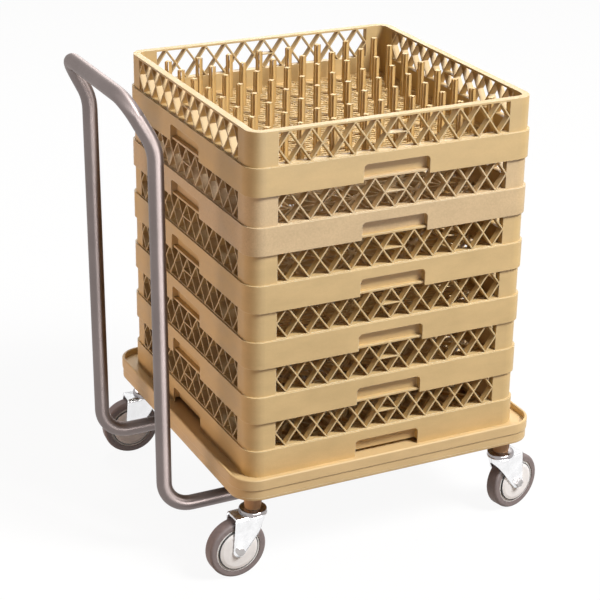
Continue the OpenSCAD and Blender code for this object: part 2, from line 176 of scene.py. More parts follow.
class DollyFinish(bpy.types.PropertyGroup):
    """Colours of the dolly's materials."""

    rack: colour_property("Rack", "Tan of the moulded racks", "#d0b480")
    rosy_rack: colour_property("Rosy rack", "Tan of the rack from another batch", "#d4ba90")
    peg: colour_property("Pegs", "Tan of the pegs in the top rack and of the racks' floors", "#dfbc7c")
    deck: colour_property("Deck", "Tan of the moulded deck", "#d6b987")
    # Painted shade: the bosses get the deck's tan made darker, as they stand in the deck's shadow
    boss: colour_property("Boss", "Darker tan of the bosses under the deck", "#b98f62")
    steel: colour_property("Steel tube", "Tone of the brushed handle", "#857a77")
    zinc: colour_property("Zinc plate", "Tone of the bright caster metal", "#f6f6f7")
    # Painted shade and reflection: the forks' bright zinc made darker for the cups, which sit under the deck
    shaded_cup_zinc: colour_property("Cup plate", "Tone of the swivel cups", "#a39d9d")
    bolt_zinc: colour_property("Bolt plate", "Tone of the dull axle bolts", "#b5b1af")
    tread: colour_property("Tread", "Grey of the tyres", "#776a68")
    core: colour_property("Wheel centre", "White of the wheel centres", "#f0efec")
    guard: colour_property("Thread guard", "Pale grey of the thread guards", "#eceae9")
    # Painted shadow: the black of the rings that stand in the gaps at the wheels' rims
    shadow_ring: colour_property("Shadow ring", "Black of the wheels' rubber seals", "#1d1b1b")
    black: colour_property("Black plastic", "Plugs and sleeves", "#2a2a2c")
    bronze: colour_property("Bronze", "Sintered bushes", "#a8894e")


class DollySizes(bpy.types.PropertyGroup):
    """Sizes of the forms that are added to the frame's solids."""

    peg_swell: length_property("Peg swell", "How much stouter the pegs are made all round", 0.8)
    peg_edge: length_property("Peg edge", "Radius of the pegs' edges", 1.3)
    rib_pitch: length_property("Rib pitch", "Spacing of the floors' ribs along a wall", 56)
    rib_width: length_property("Rib width", "Thickness of the floors' ribs", 3.4)
    bar_width: length_property("Bar width", "Thickness of the floors' fine bars", 2.2)
    fork_top: length_property("Fork top", "Height of the forks above the floor", 108.5)
    fork_plate: length_property("Fork plate", "Thickness of the forks' plates", 3)
    fork_back: length_property("Fork back", "Reach of the forks' plates from the stem towards the axle", 38)
    plate_radius: length_property("Plate radius", "Radius of the forks' plates round the stem", 23.5)
    arm_out: length_property("Arm distance", "Outer side of the arms from the wheel's middle plane", 16.5)
    arm_wall: length_property("Arm wall", "Sheet thickness of the arms", 2.5)
    arm_end: length_property("Arm end", "Radius of the arms round the axle", 11)
    flare_radius: length_property("Flare radius", "Radius of the arms' flare under the plate", 23)
    flare_height: length_property("Flare height", "How far down the arms' flare reaches", 22)
    collar_height: length_property("Collar height", "Height of the arms at the front of the stem", 7)


class DollyStage(bpy.types.PropertyGroup):
    """Camera and lights."""

    azimuth: angle_property("Azimuth", "Where the camera stands round the dolly", -26.46)
    elevation: angle_property("Elevation", "How far the camera looks down", 23.23)
    roll: angle_property("Roll", "Tilt of the picture", 0.99)
    eye: bpy.props.FloatVectorProperty(
        name="Eye", description="Place of the camera", subtype="XYZ", unit="LENGTH",
        default=(-1.2492, -2.525, 1.5623),
    )
    lens: bpy.props.FloatProperty(
        name="Lens", description="Focal length on a 36 mm sensor, in millimetres", default=107.74
    )
    key: power_property("Key light", "Power of the main lamp", 585)
    fill: power_property("Fill light", "Power of the side lamp", 11)
    gloss: power_property("Gloss light", "Power of the low softbox, which shows in gloss alone", 125)
    back: power_property("Back light", "Power of the lamp behind, which shows in gloss alone", 34)
    rear: power_property("Rear light", "Power of the lamp behind that lights matt surfaces", 48)
    sky: bpy.props.FloatProperty(name="Sky", description="Strength of the even light", default=0.07)


# Materials


def add_node(tree, kind, inputs=None, **settings):
    """Adds a node, sets it, and fills its inputs with values or with links from other sockets."""
    made = tree.nodes.new(kind)
    for name, value in settings.items():
        setattr(made, name, value)
    for name, value in (inputs or {}).items():
        if isinstance(value, bpy.types.NodeSocket):
            tree.links.new(value, made.inputs[name])
        else:
            made.inputs[name].default_value = value
    return made


def new_material(name):
    """An empty node material and its node tree."""
    material = bpy.data.materials.new(name)
    material.use_nodes = True
    tree = material.node_tree
    tree.nodes.clear()
    return material, tree


def per_size(size_mm):
    """The texture scale at which one wave of a pattern is about that many millimetres."""
    return 1 / (size_mm * MM)


def clouds(tree, size_mm, detail=2.0, stretch=(1, 1, 1)):
    """A cloudy pattern of that size, fixed to the part and drawn out along the axes with a small stretch.

    Gives it as it is, for bumps, and spread out from 0 to 1, for blends.
    """
    place = add_node(tree, "ShaderNodeTexCoord")
    mapped = add_node(tree, "ShaderNodeMapping", {"Vector": place.outputs["Object"], "Scale": stretch})
    pattern = add_node(
        tree, "ShaderNodeTexNoise",
        {"Vector": mapped.outputs["Vector"], "Scale": per_size(size_mm), "Detail": detail, "Roughness": 0.55},
    ).outputs["Fac"]
    spread = add_node(tree, "ShaderNodeMapRange", {"Value": pattern, "From Min": 0.3, "From Max": 0.7})
    return pattern, spread.outputs["Result"]


def edge_highlight_mask(tree, softened):
    """Where edges get a painted highlight: 1 along sharp edges of upright faces, less on level ones, and 0 on
    flat faces.

    It comes from how far the softened normal turns away. Level faces lie in more light and need less of the
    painted highlight.
    """
    flat = add_node(tree, "ShaderNodeNewGeometry").outputs["True Normal"]
    turn = add_node(tree, "ShaderNodeVectorMath", {0: softened, 1: flat}, operation="DOT_PRODUCT")
    edge = add_node(
        tree, "ShaderNodeMapRange",
        {"Value": turn.outputs["Value"], "From Min": 0.99, "From Max": 0.85, "To Min": 0.0, "To Max": 1.0},
    )
    height = add_node(tree, "ShaderNodeSeparateXYZ", {"Vector": flat}).outputs["Z"]
    level = add_node(
        tree, "ShaderNodeMapRange",
        {"Value": height, "From Min": 0.5, "From Max": 0.9, "To Min": 1.0, "To Max": 0.3},
    )
    return add_node(
        tree, "ShaderNodeMath", {0: edge.outputs["Result"], 1: level.outputs["Result"]}, operation="MULTIPLY"
    ).outputs["Value"]


def moulded_polyolefin(name, colour, grain_mm=1.6, grain=0.35, stipple=(0.90, 0.885, 0.86)):
    """Moulded polypropylene or polyethylene: satin, with flow tones along the walls and a spark-eroded grain.

    The real grain is about 0.3 mm, too fine to show, so it is drawn several times coarser. Edges are painted
    with a highlight, paler than the walls.
    """
    material, tree = new_material(name)
    flow = clouds(tree, 70, detail=3, stretch=(1, 1, 2.5))[1]
    speck, dots = clouds(tree, grain_mm)
    broad = add_node(
        tree, "ShaderNodeMix", {"Factor": flow, "A": scaled(colour, 0.93), "B": scaled(colour, 1.05)},
        data_type="RGBA",
    )
    fine = add_node(
        tree, "ShaderNodeMix", {"Factor": dots, "A": (*stipple, 1), "B": (1, 1, 1, 1)}, data_type="RGBA"
    )
    mixed = add_node(
        tree, "ShaderNodeMix", {"Factor": 0.6, "A": broad.outputs["Result"], "B": fine.outputs["Result"]},
        data_type="RGBA", blend_type="MULTIPLY",
    )
    softened = add_node(tree, "ShaderNodeBevel", {"Radius": 1.0 * MM}, samples=4).outputs["Normal"]
    bump = add_node(
        tree, "ShaderNodeBump",
        {"Strength": grain, "Distance": 0.12 * MM, "Height": speck, "Normal": softened},
    )
    # Painted highlight: edges turn most of the way to a pale cream
    edge_highlighted = add_node(
        tree, "ShaderNodeMix",
        {"Factor": edge_highlight_mask(tree, softened), "A": mixed.outputs["Result"], "B": with_edge_highlight(colour)},
        data_type="RGBA",
    )
    gloss = add_node(tree, "ShaderNodeMix", {"Factor": flow, "A": 0.42, "B": 0.54})
    surface = add_node(tree, "ShaderNodeBsdfPrincipled", {
        "Base Color": edge_highlighted.outputs["Result"],
        "Roughness": gloss.outputs["Result"],
        "IOR": 1.49,
        "Specular IOR Level": 0.35,
        "Normal": bump.outputs["Normal"],
    })
    add_node(tree, "ShaderNodeOutputMaterial", {"Surface": surface.outputs["BSDF"]})
    return material


def along_tube(tree):
    """The direction of the bent handle tube: along X in its feet, up its legs, and along Y in its grip."""
    low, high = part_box("handle_tube")
    top = high[2]
    bend = (low[0] + LEG_INSET + FOOT_BEND, 0, low[2] + TUBE_RADIUS + FOOT_BEND)
    place = add_node(tree, "ShaderNodeTexCoord").outputs["Object"]
    past = add_node(tree, "ShaderNodeVectorMath", {0: place, 1: bend}, operation="SUBTRACT")
    before = add_node(
        tree, "ShaderNodeVectorMath", {0: past.outputs["Vector"], 1: (0, 0, 0)}, operation="MINIMUM"
    )
    around = add_node(
        tree, "ShaderNodeVectorMath", {0: (0, 1, 0), 1: before.outputs["Vector"]}, operation="CROSS_PRODUCT"
    )
    leg = add_node(tree, "ShaderNodeVectorMath", {0: around.outputs["Vector"]}, operation="NORMALIZE")
    height = add_node(tree, "ShaderNodeSeparateXYZ", {"Vector": place}).outputs["Z"]
    neck = add_node(tree, "ShaderNodeMapRange", {
        "Value": height,
        "From Min": top - NECK_SPAN[0], "From Max": top - NECK_SPAN[1],
        "To Min": 0, "To Max": -0.5,
    })
    # In the grip, Y outweighs the leg's own direction
    grip = add_node(tree, "ShaderNodeMapRange", {
        "Value": height,
        "From Min": top - GRIP_SPAN[0], "From Max": top - GRIP_SPAN[1],
        "To Min": 0, "To Max": 20,
    })
    upper = add_node(
        tree, "ShaderNodeCombineXYZ", {"X": neck.outputs["Result"], "Y": grip.outputs["Result"], "Z": 0.0}
    )
    return add_node(
        tree, "ShaderNodeVectorMath", {0: leg.outputs["Vector"], 1: upper.outputs["Vector"]}, operation="ADD"
    ).outputs["Vector"]


def brushed_steel(name, colour):
    """Stainless tube, polished round its girth: grey, with streaks of light drawn out along its length.

    The real scratches are about 0.1 mm wide, too fine to show, so they are drawn coarser.
    """
    material, tree = new_material(name)
    rings, scratches = clouds(tree, 1.2, detail=3, stretch=(0.2, 0.2, 1))
    patches = clouds(tree, 90)[1]
    bump = add_node(tree, "ShaderNodeBump", {"Strength": 0.06, "Distance": 0.05 * MM, "Height": rings})
    tone = add_node(
        tree, "ShaderNodeMix", {"Factor": patches, "A": scaled(colour, 0.92), "B": scaled(colour, 1.06)},
        data_type="RGBA",
    )
    gloss = add_node(tree, "ShaderNodeMix", {"Factor": scratches, "A": 0.44, "B": 0.52})
    surface = add_node(tree, "ShaderNodeBsdfPrincipled", {
        "Base Color": tone.outputs["Result"],
        "Metallic": 1.0,
        "Roughness": gloss.outputs["Result"],
        "Anisotropic": 0.85,
        "Tangent": along_tube(tree),
        "Normal": bump.outputs["Normal"],
    })
    add_node(tree, "ShaderNodeOutputMaterial", {"Surface": surface.outputs["BSDF"]})
    return material


def zinc_plate(name, colour, rough=0.22):
    """Bright zinc on pressed or turned steel: a clean pale metal with a slightly uneven shine."""
    material, tree = new_material(name)
    waves, cloud = clouds(tree, 14, detail=3)
    softened = add_node(tree, "ShaderNodeBevel", {"Radius": 0.6 * MM}, samples=4).outputs["Normal"]
    bump = add_node(
        tree, "ShaderNodeBump", {"Strength": 0.06, "Distance": 0.2 * MM, "Height": waves, "Normal": softened}
    )
    tone = add_node(
        tree, "ShaderNodeMix", {"Factor": cloud, "A": scaled(colour, 0.92), "B": scaled(colour, 1.04)},
        data_type="RGBA",
    )
    gloss = add_node(tree, "ShaderNodeMix", {"Factor": cloud, "A": rough * 0.8, "B": rough * 1.3})
    surface = add_node(tree, "ShaderNodeBsdfPrincipled", {
        "Base Color": tone.outputs["Result"],
        "Metallic": 1.0,
        "Roughness": gloss.outputs["Result"],
        "Normal": bump.outputs["Normal"],
    })
    add_node(tree, "ShaderNodeOutputMaterial", {"Surface": surface.outputs["BSDF"]})
    return material


def tread_rubber(name, colour):
    """Moulded thermoplastic rubber: dull, with dusty patches and a fine grain.

    The real grain is about 0.2 mm, too fine to show, so it is drawn coarser.
    """
    material, tree = new_material(name)
    dust = clouds(tree, 9, detail=4)[1]
    grain = clouds(tree, 1.5)[0]
    bump = add_node(tree, "ShaderNodeBump", {"Strength": 0.15, "Distance": 0.15 * MM, "Height": grain})
    tone = add_node(
        tree, "ShaderNodeMix", {"Factor": dust, "A": scaled(colour, 0.85), "B": scaled(colour, 1.15)},
        data_type="RGBA",
    )
    gloss = add_node(tree, "ShaderNodeMix", {"Factor": dust, "A": 0.48, "B": 0.66})
    surface = add_node(tree, "ShaderNodeBsdfPrincipled", {
        "Base Color": tone.outputs["Result"],
        "Roughness": gloss.outputs["Result"],
        "IOR": 1.52,
        "Normal": bump.outputs["Normal"],
    })
    add_node(tree, "ShaderNodeOutputMaterial", {"Surface": surface.outputs["BSDF"]})
    return material


def moulded_nylon(name, colour, rough=0.38):
    """Moulded nylon: even and slightly waxy, with the faintest cloud in its colour and a fine grain.

    The real grain is about 0.2 mm, too fine to show, so it is drawn coarser.
    """
    material, tree = new_material(name)
    cloud = clouds(tree, 18)[1]
    grain = clouds(tree, 1.4)[0]
    softened = add_node(tree, "ShaderNodeBevel", {"Radius": 0.4 * MM}, samples=4).outputs["Normal"]
    bump = add_node(
        tree, "ShaderNodeBump", {"Strength": 0.08, "Distance": 0.1 * MM, "Height": grain, "Normal": softened}
    )
    tone = add_node(
        tree, "ShaderNodeMix", {"Factor": cloud, "A": scaled(colour, 0.95), "B": scaled(colour, 1.02)},
        data_type="RGBA",
    )
    gloss = add_node(tree, "ShaderNodeMix", {"Factor": cloud, "A": rough * 0.9, "B": rough * 1.15})
    surface = add_node(tree, "ShaderNodeBsdfPrincipled", {
        "Base Color": tone.outputs["Result"],
        "Roughness": gloss.outputs["Result"],
        "IOR": 1.53,
        "Normal": bump.outputs["Normal"],
    })
    add_node(tree, "ShaderNodeOutputMaterial", {"Surface": surface.outputs["BSDF"]})
    return material


def sintered_bronze(name, colour):
    """Sintered bronze: a dull warm metal with open pores.

    The real pores are about 0.1 mm wide, too fine to show, so they are drawn coarser.
    """
    material, tree = new_material(name)
    pits, pores = clouds(tree, 1.0)
    bump = add_node(tree, "ShaderNodeBump", {"Strength": 0.2, "Distance": 0.1 * MM, "Height": pits})
    tone = add_node(
        tree, "ShaderNodeMix", {"Factor": pores, "A": scaled(colour, 0.75), "B": scaled(colour, 1.1)},
        data_type="RGBA",
    )
    gloss = add_node(tree, "ShaderNodeMix", {"Factor": pores, "A": 0.35, "B": 0.5})
    surface = add_node(tree, "ShaderNodeBsdfPrincipled", {
        "Base Color": tone.outputs["Result"],
        "Metallic": 1.0,
        "Roughness": gloss.outputs["Result"],
        "Normal": bump.outputs["Normal"],
    })
    add_node(tree, "ShaderNodeOutputMaterial", {"Surface": surface.outputs["BSDF"]})
    return material


# Solids from the frame


def dress(names, material):
    """Gives CAD nodes a material in place of their plain one."""
    for name in names:
        if name not in NODES:
            raise RuntimeError(f"The frame has no node {name}")
        slots = NODES[name].data.materials
        slots.clear()
        slots.append(material)


def finish_of(name):
    """The material that a CAD node is dressed in, for pieces made of the same stuff."""
    return NODES[name].data.materials[0]


def swell(node, distance):
    """Makes a node stouter all round with a modifier, which leaves its mesh as it is."""
    stouter = node.modifiers.new("stouter", "DISPLACE")
    stouter.strength = distance
    stouter.mid_level = 0


def soften(node, radius):
    """Rounds the edges of a node with a modifier, which leaves its mesh as it is."""
    bevel = node.modifiers.new("soft_edges", "BEVEL")
    bevel.width = radius
    bevel.segments = 2
    bevel.limit_method = "ANGLE"
    bevel.angle_limit = math.radians(40)


def at_casters(piece):
    return [f"{piece}_{place}" for place in CASTERS]


def joint_of(name):
    return next(joint for joint in frame["joints"] if joint["name"] == name)


# Shapes


def add_piece(name, points, faces, material, body, smooth_degrees=40):
    """A mesh piece that rides on a body, with smooth curves and sharp edges."""
    mesh = bpy.data.meshes.new(name)
    mesh.from_pydata(points, [], faces)
    mesh.materials.append(material)
    mesh.shade_smooth()
    mesh.set_sharp_from_angle(angle=math.radians(smooth_degrees))
    piece = bpy.data.objects.new(name, mesh)
    bpy.context.scene.collection.objects.link(piece)
    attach(piece, body)
    return piece


def ring_faces(rings, size, closed=True):
    """Quads between rings of points, each ring joined to the next, and the last to the first if closed."""
    faces = []
    for i in range(rings if closed else rings - 1):
        here, there = i * size, (i + 1) % rings * size
        for k in range(size):
            n = (k + 1) % size
            faces.append((here + k, here + n, there + n, there + k))
    return faces


def turned(section, steps=64):
    """The points and faces of a section in millimetres, turned about Z."""
    points = []
    for i in range(steps):
        angle = 2 * math.pi * i / steps
        points += [Vector((r * math.cos(angle), r * math.sin(angle), z)) * MM for r, z in section]
    size = len(section)
    faces = []
    for i, face in enumerate(ring_faces(steps, size)):
        # No faces along the axis itself
        if section[i % size][0] or section[(i + 1) % size][0]:
            faces.append(face[::-1])
    return points, faces


def bar(points, faces, start, end, width, levels):
    """Adds a straight bar between two points of a floor, with its underside and top at these levels."""
    bottom, top = (FLOOR_TOP + level for level in levels)
    side = Vector((start[1] - end[1], end[0] - start[0])).normalized() * width / 2
    first = len(points)
    for x, y in (start, end):
        for s, z in ((-1, bottom), (1, bottom), (1, top), (-1, top)):
            points.append(Vector((x + s * side.x, y + s * side.y, z)))
    for k in range(4):
        faces.append((first + k, first + (k + 1) % 4, first + 4 + (k + 1) % 4, first + 4 + k))
    faces.append((first + 3, first + 2, first + 1, first))
    faces.append((first + 4, first + 5, first + 6, first + 7))


def both_ways(count):
    """Whole numbers from minus a count to the count."""
    return range(-count, count + 1)


def rack_floor(name, fine, material, sizes):
    """Ribs along both diagonals of a rack's floor, and a mesh of fine bars on them where the rack has one."""
    points, faces = [], []
    half, pitch = FLOOR_HALF, sizes.rib_pitch
    # The last rib in each corner would be a mere stub, and is left out
    for k in both_ways(int(2 * half / pitch) - 1):
        offset = k * pitch
        a, b = max(-half, offset - half), min(half, offset + half)
        bar(points, faces, (a, offset - a), (b, offset - b), sizes.rib_width, RIB_LEVELS[0])
        bar(points, faces, (a, a - offset), (b, b - offset), sizes.rib_width, RIB_LEVELS[1])
    if fine:
        step = pitch / FINE_BARS
        for k in both_ways(int(half / step)):
            bar(points, faces, (-half, k * step), (half, k * step), sizes.bar_width, BAR_LEVELS[0])
        for k in both_ways(int(half / pitch)):
            bar(points, faces, (k * pitch, -half), (k * pitch, half), sizes.bar_width, BAR_LEVELS[1])
    low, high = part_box(name)
    base = Vector(((low[0] + high[0]) / 2, (low[1] + high[1]) / 2, low[2]))
    add_piece(f"floor_of_{name}", [base + p for p in points], faces, material, f"{name}_unit")


def deck_band(material):
    """A strip round the deck that makes its band as tall as the real one."""
    low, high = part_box("deck")
    middle = Vector(((low[0] + high[0]) / 2, (low[1] + high[1]) / 2, 0))
    corner = BAND_HALF - BAND_CORNER
    points = []
    for quarter, (x, y) in enumerate(((1, 1), (-1, 1), (-1, -1), (1, -1))):
        for i in range(BAND_STEPS + 1):
            angle = math.radians(90 * (quarter + i / BAND_STEPS))
            out = Vector((math.cos(angle), math.sin(angle), 0))
            for inset, z in BAND_SECTION:
                spot = Vector((x * corner, y * corner, z)) + (BAND_CORNER - inset) * out
                points.append(middle + spot * MM)
    faces = ring_faces(4 * (BAND_STEPS + 1), len(BAND_SECTION))
    add_piece("deck_band", points, faces, material, DECK_BODY)


def caster_frame(place):
    """The matrix of a caster's own frame, the distance from its stem to its axle, and its axle's height.

    The frame stands on the floor under the stem, with X towards the axle.
    """
    stem = Vector(joint_of(f"swivel_{place}")["pos_m"])
    axle = Vector(joint_of(f"roll_{place}")["pos_m"])
    along = Vector((axle.x - stem.x, axle.y - stem.y, 0))
    turn = Matrix.Rotation(math.atan2(along.y, along.x), 4, "Z")
    return Matrix.Translation((stem.x, stem.y, 0)) @ turn, along.length, axle.z


def fork_arm(sizes, trail, axle_z, side):
    """One pressed arm: straight beside the wheel, and flared round the stem up to the plate.

    Its lower edge runs straight from the front of the stem to the round end at the axle, and its upper edge
    slopes down to that end from the back of the plate.
    """
    top = sizes.fork_top - ARM_DROP
    end = trail + sizes.arm_end
    front = Vector((-sizes.plate_radius, sizes.fork_top - sizes.collar_height))
    axle = Vector((trail, axle_z))
    reach = front - axle
    touch = math.atan2(reach.y, reach.x) + math.acos(sizes.arm_end / reach.length)
    foot = axle + sizes.arm_end * Vector((math.cos(touch), math.sin(touch)))

    def lower_edge(x):
        if x < foot.x:
            return front.y + (foot.y - front.y) * (x - front.x) / (foot.x - front.x)
        return axle_z - math.sqrt(max(0, sizes.arm_end ** 2 - (x - trail) ** 2))

    def upper_edge(x):
        if x <= sizes.fork_back:
            return top
        return axle_z + (sizes.fork_top - axle_z) * (end - x) / (end - sizes.fork_back)

    def flare(z):
        share = max(0, 1 - (sizes.fork_top - z) / sizes.flare_height)
        return sizes.arm_out + (sizes.flare_radius - sizes.arm_out) * share

    points, faces = [], []
    for c in range(2 * ARM_COLUMNS + 1):
        turn = math.pi / 2 * c / ARM_COLUMNS
        if c <= ARM_COLUMNS:
            x = end * math.cos(turn)
            z0, z1 = lower_edge(x), upper_edge(x)
            for r in range(ARM_ROWS + 1):
                points.append(Vector((x, side * sizes.arm_out, z0 + (z1 - z0) * r / ARM_ROWS)))
        else:
            # The lower edge hangs on the flare and the flare on the height, so a few steps settle both
            z0 = sizes.fork_top - sizes.flare_height
            for step in range(SETTLE_STEPS):
                z0 = lower_edge(flare(z0) * math.cos(turn))
            for r in range(ARM_ROWS + 1):
                z = z0 + (top - z0) * r / ARM_ROWS
                points.append(Vector((flare(z) * math.cos(turn), side * flare(z) * math.sin(turn), z)))
    for c in range(2 * ARM_COLUMNS):
        for r in range(ARM_ROWS):
            a, b = c * (ARM_ROWS + 1) + r, (c + 1) * (ARM_ROWS + 1) + r
            face = (a, b, b + 1, a + 1)
            faces.append(face if side > 0 else face[::-1])
    return points, faces


def plate_outline(sizes):
    """The outline of the fork's top: round about the stem, and square with round corners towards the axle."""
    turn = math.asin(sizes.arm_out / sizes.plate_radius)
    outline = []
    for i in range(PLATE_STEPS + 1):
        angle = turn + 2 * (math.pi - turn) * i / PLATE_STEPS
        outline.append(sizes.plate_radius * Vector((math.cos(angle), math.sin(angle))))
    for start, y in ((-90, -1), (0, 1)):
        middle = Vector((sizes.fork_back - PLATE_CORNER, y * (sizes.arm_out - PLATE_CORNER)))
        for i in range(CORNER_STEPS + 1):
            angle = math.radians(start + 90 * i / CORNER_STEPS)
            outline.append(middle + PLATE_CORNER * Vector((math.cos(angle), math.sin(angle))))
    return outline


def fork_plate(sizes):
    """The plate under the swivel cup, with its edges softened."""
    outline = plate_outline(sizes)
    count = len(outline)
    bottom, top = sizes.fork_top - sizes.fork_plate, sizes.fork_top
    layers = (
        (PLATE_LOWER_EDGE, bottom), (0, bottom + PLATE_LOWER_EDGE), (0, top - PLATE_UPPER_EDGE),
        (PLATE_UPPER_EDGE, top),
    )
    points = []
    for inset, z in layers:
        scale = 1 - inset / sizes.plate_radius
        points += [Vector((spot.x * scale, spot.y * scale, z)) for spot in outline]
    faces = ring_faces(len(layers), count, closed=False)
    faces.append(tuple(range(count))[::-1])
    faces.append(tuple(range((len(layers) - 1) * count, len(layers) * count)))
    return points, faces


def fork_pieces(place, sizes):
    """The pressed fork: two arms that flare round the stem, and a plate under the cup."""
    to_dolly, trail, axle_z = caster_frame(place)
    body, zinc = f"swivel_{place}_unit", finish_of(f"fork_{place}")
    points, faces = [], []
    for side in (1, -1):
        arm_points, arm_faces = fork_arm(sizes, trail, axle_z, side)
        first = len(points)
        points += [to_dolly @ p for p in arm_points]
        faces += [tuple(first + k for k in face) for face in arm_faces]
    arms = add_piece(f"fork_arms_{place}", points, faces, zinc, body)
    wall = arms.modifiers.new("wall", "SOLIDIFY")
    wall.thickness = sizes.arm_wall
    wall.offset = -1
    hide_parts(f"fork_{place}")
    points, faces = fork_plate(sizes)
    points = [to_dolly @ p for p in points]
    add_piece(f"fork_plate_{place}", points, faces, zinc, body, smooth_degrees=60)


def cup_and_boss(place, shaded_boss_material):
    """The swivel cup with its stem and bearing, and the tapered boss of the deck that holds the stem."""
    to_dolly = caster_frame(place)[0]
    points, faces = turned(CUP_SECTION)
    points = [to_dolly @ p for p in points]
    cup = add_piece(f"cup_{place}", points, faces, finish_of(f"stem_{place}"), DECK_BODY)
    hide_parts(f"stem_{place}", f"bearing_{place}")
    points, faces = turned(BOSS_SECTION)
    # Painted shade: the boss takes the darker tan of shadow under the deck
    add_piece(f"boss_{place}", [to_dolly @ p for p in points], faces, shaded_boss_material, DECK_BODY)


def wheel_shadow_ring(place, material, steps=96):
    """Two black rings that fill the gaps between a wheel's rim and its thread guards with painted shadow, as
    one piece.
    """
    axle = joint_of(f"roll_{place}")
    along = Vector(axle["axis"]).normalized()
    up = Vector((0, 0, 1))
    side = up.cross(along)
    points, faces = [], []
    for sign in (1, -1):
        first = len(points)
        faces += [tuple(first + k for k in face) for face in ring_faces(steps, len(SHADOW_RING_SECTION))]
        for i in range(steps):
            turn = 2 * math.pi * i / steps
            out = math.cos(turn) * side + sign * math.sin(turn) * up
            for radius, height in SHADOW_RING_SECTION:
                points.append(Vector(axle["pos_m"]) + (radius * out + sign * height * along) * MM)
    add_piece(f"shadow_ring_{place}", points, faces, material, f"swivel_{place}_unit", smooth_degrees=50)


# Studio


def seen_directly(tree):
    """1 for rays that come straight from the camera or by way of a mirror or glass.

    Floor and world show these rays white.
    """
    path = add_node(tree, "ShaderNodeLightPath")
    total = path.outputs["Is Camera Ray"]
    for name in ("Is Glossy Ray", "Is Transmission Ray"):
        total = add_node(
            tree, "ShaderNodeMath", {0: total, 1: path.outputs[name]}, operation="MAXIMUM"
        ).outputs["Value"]
    return total


def studio_floor():
    """A wide pale floor that shows white and keeps a soft shadow."""
    reach = FLOOR_REACH
    mesh = bpy.data.meshes.new("studio_floor")
    mesh.from_pydata(
        [(-reach, -reach, 0), (reach, -reach, 0), (reach, reach, 0), (-reach, reach, 0)], [], [(0, 1, 2, 3)]
    )
    floor = bpy.data.objects.new("studio_floor", mesh)
    bpy.context.scene.collection.objects.link(floor)
    material, tree = new_material("Pale studio floor")
    seen = seen_directly(tree)
    shade = add_node(
        tree, "ShaderNodeMix", {"Factor": seen, "A": linear(FLOOR_UNSEEN), "B": linear(FLOOR_SEEN)},
        data_type="RGBA",
    )
    matt = add_node(tree, "ShaderNodeBsdfDiffuse", {"Color": shade.outputs["Result"]})
    white = add_node(tree, "ShaderNodeEmission", {"Color": (1, 1, 1, 1), "Strength": 1.0})
    share = add_node(tree, "ShaderNodeMath", {0: seen, 1: FLOOR_WHITE}, operation="MULTIPLY")
    mixed = add_node(
        tree, "ShaderNodeMixShader",
        {"Fac": share.outputs["Value"], 1: matt.outputs["BSDF"], 2: white.outputs["Emission"]},
    )
    add_node(tree, "ShaderNodeOutputMaterial", {"Surface": mixed.outputs["Shader"]})
    mesh.materials.append(material)


def white_world(strength):
    """Even light on the object, and white where it is looked at directly."""
    world = bpy.data.worlds.new("White studio")
    world.use_nodes = True
    tree = world.node_tree
    tree.nodes.clear()
    seen = seen_directly(tree)
    level = add_node(tree, "ShaderNodeMapRange", {"Value": seen, "To Min": strength, "To Max": 1.0})
    tint = add_node(
        tree, "ShaderNodeMix", {"Factor": seen, "A": linear(SKY_TINT), "B": (1, 1, 1, 1)}, data_type="RGBA"
    )
    sky = add_node(
        tree, "ShaderNodeBackground", {"Color": tint.outputs["Result"], "Strength": level.outputs["Result"]}
    )
    add_node(tree, "ShaderNodeOutputWorld", {"Surface": sky.outputs["Background"]})
    bpy.context.scene.world = world


def soft_lamp(name, place, size, power, target=LAMP_TARGET, colour="#ffffff", matt=True, gloss=True):
    """A softbox of that width and height that faces a point, and lights matt surfaces, gloss, or both."""
    lamp = bpy.data.lights.new(name, "AREA")
    lamp.shape = "RECTANGLE"
    lamp.size, lamp.size_y = size
    lamp.energy = power
    lamp.color = linear(colour)[:3]
    holder = bpy.data.objects.new(name, lamp)
    holder.visible_diffuse = matt
    holder.visible_glossy = gloss
    bpy.context.scene.collection.objects.link(holder)
    holder.location = place
    holder.rotation_euler = (Vector(target) - Vector(place)).to_track_quat("-Z", "Y").to_euler()


def studio_lamps(stage):
    """A high main lamp, a low warm one on the shaded side, a softbox for gloss, and two lamps behind."""
    soft_lamp("key_lamp", place=(2.65, -3.45, 5.27), size=(2.2, 2.2), power=stage.key)
    soft_lamp(
        "fill_lamp", place=(-1.5, 0.15, 0.2), size=(0.9, 0.6), power=stage.fill,
        target=(0, 0, 0.2), colour=FILL_TINT, gloss=False,
    )
    soft_lamp("gloss_lamp", place=(0.31, -3.0, 0.7), size=(3.2, 0.8), power=stage.gloss, matt=False)
    soft_lamp("back_lamp", place=(1.3, 2.5, 1.95), size=(1.6, 1.6), power=stage.back, matt=False)
    soft_lamp("rear_lamp", place=(0.5, 2.6, 3.2), size=(1.6, 1.6), power=stage.rear, gloss=False)


def photo_camera(stage):
    """The camera at the photograph's angle."""
    az, el, roll = stage.azimuth, stage.elevation, stage.roll
    back = Vector((math.sin(az) * math.cos(el), -math.cos(az) * math.cos(el), math.sin(el)))
    level = Vector((0, 0, 1)).cross(back).normalized()
    up = back.cross(level)
    right = math.cos(roll) * level + math.sin(roll) * up
    top = -math.sin(roll) * level + math.cos(roll) * up
    data = bpy.data.cameras.new("photo_camera")
    data.sensor_width = 36
    data.lens = stage.lens
    data.clip_end = 50
    camera = bpy.data.objects.new("photo_camera", data)
    bpy.context.scene.collection.objects.link(camera)
    camera.matrix_world = Matrix.Translation(stage.eye) @ Matrix((right, top, back)).transposed().to_4x4()
    bpy.context.scene.camera = camera


# Operators


